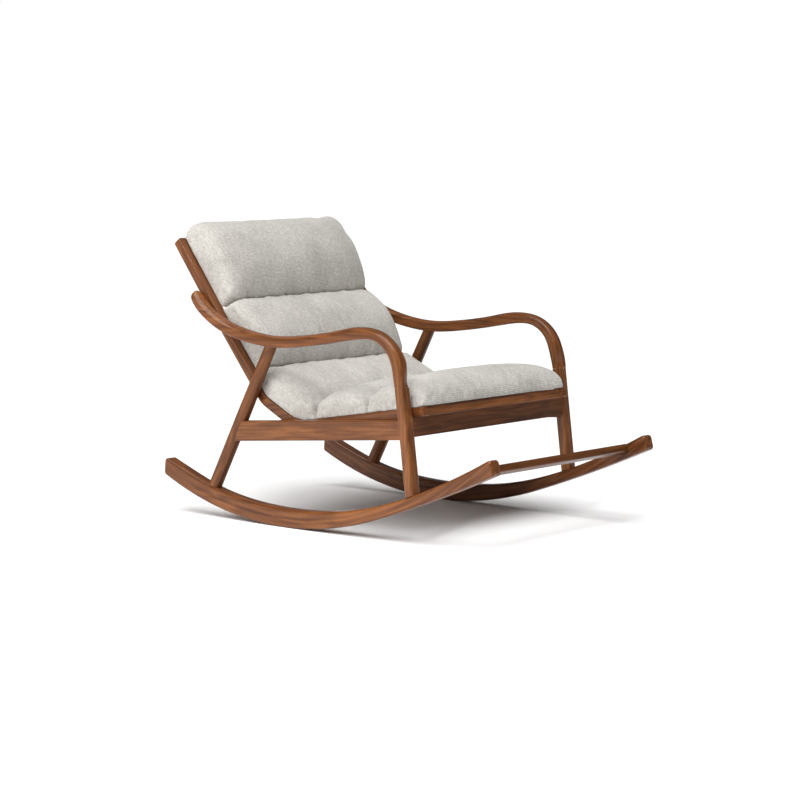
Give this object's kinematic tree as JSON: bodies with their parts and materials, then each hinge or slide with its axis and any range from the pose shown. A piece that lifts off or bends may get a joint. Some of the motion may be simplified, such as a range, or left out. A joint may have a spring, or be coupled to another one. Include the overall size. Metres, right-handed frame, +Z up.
{
  "type": "rocking chair",
  "caption": "Reclined wooden rocking chair with sculpted arms, curved runners, a foot bar and one long cushion sewn into puffs.",
  "frame": {"origin": "on the floor, under the middle of the bounding box", "axes": "+Z up; the front of the chair faces -Y; X runs across the chair, +X is the sitter's left"},
  "size_m": [0.64, 1.0865, 0.7374],
  "materials": {
    "walnut": "walnut, satin oil, straight grain along each piece",
    "dowel_wood": "plain beech dowel",
    "upholstery": "warm light grey woven upholstery, plain weave, matt",
    "wadding": "soft white fill",
    "steel": "zinc plated, satin",
    "brass": "plain machined"
  },
  "bodies": {
    "frame": {"rocker_left": "walnut", "rocker_right": "walnut", "arm_left": "walnut", "arm_right": "walnut", "front_leg_left": "walnut", "front_leg_right": "walnut", "rear_leg_left": "walnut", "rear_leg_right": "walnut", "side_apron_left": "walnut", "side_apron_right": "walnut", "seat_rail_left": "walnut", "seat_rail_right": "walnut", "back_rail_left": "walnut", "back_rail_right": "walnut", "front_apron": "walnut", "front_seat_rail": "walnut", "front_stretcher": "walnut", "rear_stretcher": "walnut", "back_top_rail": "walnut", "seat_slat_1": "walnut", "seat_slat_2": "walnut", "seat_slat_3": "walnut", "seat_slat_4": "walnut", "seat_slat_5": "walnut", "back_slat_1": "walnut", "back_slat_2": "walnut", "back_slat_3": "walnut", "back_slat_4": "walnut", "rail_bolts": "steel", "rail_washers": "steel", "rail_inserts": "brass", "rail_dowels": "dowel_wood", "apron_dowels": "dowel_wood", "stretcher_dowels": "dowel_wood"},
    "cushion": {"cushion_cover": "upholstery", "cushion_filling_front": "wadding", "cushion_filling_thigh": "wadding", "cushion_filling_hip": "wadding", "cushion_filling_waist": "wadding", "cushion_filling_head": "wadding"}
  },
  "joints": [
    {"name": "cushion_lift", "type": "slide", "parent": "frame", "child": "cushion", "axis": [0, 0, 1], "range_m": [0, 0.5]}
  ]
}
